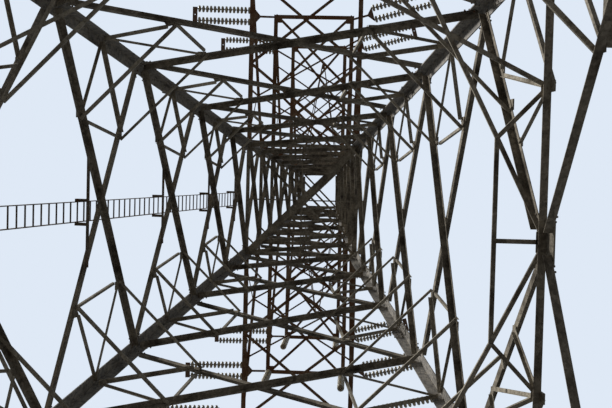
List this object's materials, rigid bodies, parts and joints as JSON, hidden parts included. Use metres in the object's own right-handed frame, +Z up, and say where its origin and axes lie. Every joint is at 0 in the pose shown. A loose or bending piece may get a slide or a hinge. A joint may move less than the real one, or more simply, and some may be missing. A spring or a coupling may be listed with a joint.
{
  "type": "lattice transmission pylon, 1:2 scale model",
  "caption": "Lattice transmission tower with four leaning angle legs, crossed bracing, crossarms, a ladder and insulator strings that hold conductors over open ground.",
  "frame": {"origin": "on the ground, midway between the four legs", "axes": "+Z up, crossarms along X, line along Y with the ladder on the -Y side"},
  "size_m": [7.9086, 7.1474, 24.1],
  "materials": {
    "leg_steel": "weathered galvanised steel, dull grey",
    "bracing_steel": "weathered galvanised steel with a brown bloom",
    "arm_steel": "weathered galvanised steel with a brown bloom",
    "ladder_steel": "weathered galvanised steel with light rust",
    "fitting_steel": "rusty forged steel",
    "insulator_glass": "dusty toughened glass"
  },
  "bodies": {
    "root": {"arm_lower_left": "arm_steel", "arm_lower_right": "arm_steel", "arm_middle_left": "arm_steel", "arm_middle_right": "arm_steel", "arm_top_left": "arm_steel", "arm_top_right": "arm_steel", "belt_back": "bracing_steel", "belt_corner_ties": "bracing_steel", "belt_front": "bracing_steel", "belt_left": "bracing_steel", "belt_plan_bracing": "bracing_steel", "belt_right": "bracing_steel", "body_struts": "bracing_steel", "earthwire_arm_left": "arm_steel", "earthwire_arm_right": "arm_steel", "fillers_back": "bracing_steel", "fillers_front": "bracing_steel", "fillers_left": "bracing_steel", "fillers_right": "bracing_steel", "foot_back_left": "leg_steel", "foot_back_right": "leg_steel", "foot_front_left": "leg_steel", "foot_front_right": "leg_steel", "ladder_bars": "ladder_steel", "ladder_lower": "ladder_steel", "leg_back_left": "leg_steel", "leg_back_right": "leg_steel", "leg_front_left": "leg_steel", "leg_front_right": "leg_steel", "lower_bracing_back": "bracing_steel", "lower_bracing_front": "bracing_steel", "lower_bracing_left": "bracing_steel", "lower_bracing_right": "bracing_steel", "pilot_fittings": "fitting_steel", "pilot_strings": "insulator_glass", "tension_fittings_back": "fitting_steel", "tension_fittings_front": "fitting_steel", "tension_strings_back": "insulator_glass", "tension_strings_front": "insulator_glass", "upper_bracing_back": "bracing_steel", "upper_bracing_front": "bracing_steel", "upper_bracing_left": "bracing_steel", "upper_bracing_right": "bracing_steel", "upper_frames": "bracing_steel", "waist_frame": "bracing_steel"}
  },
  "joints": []
}
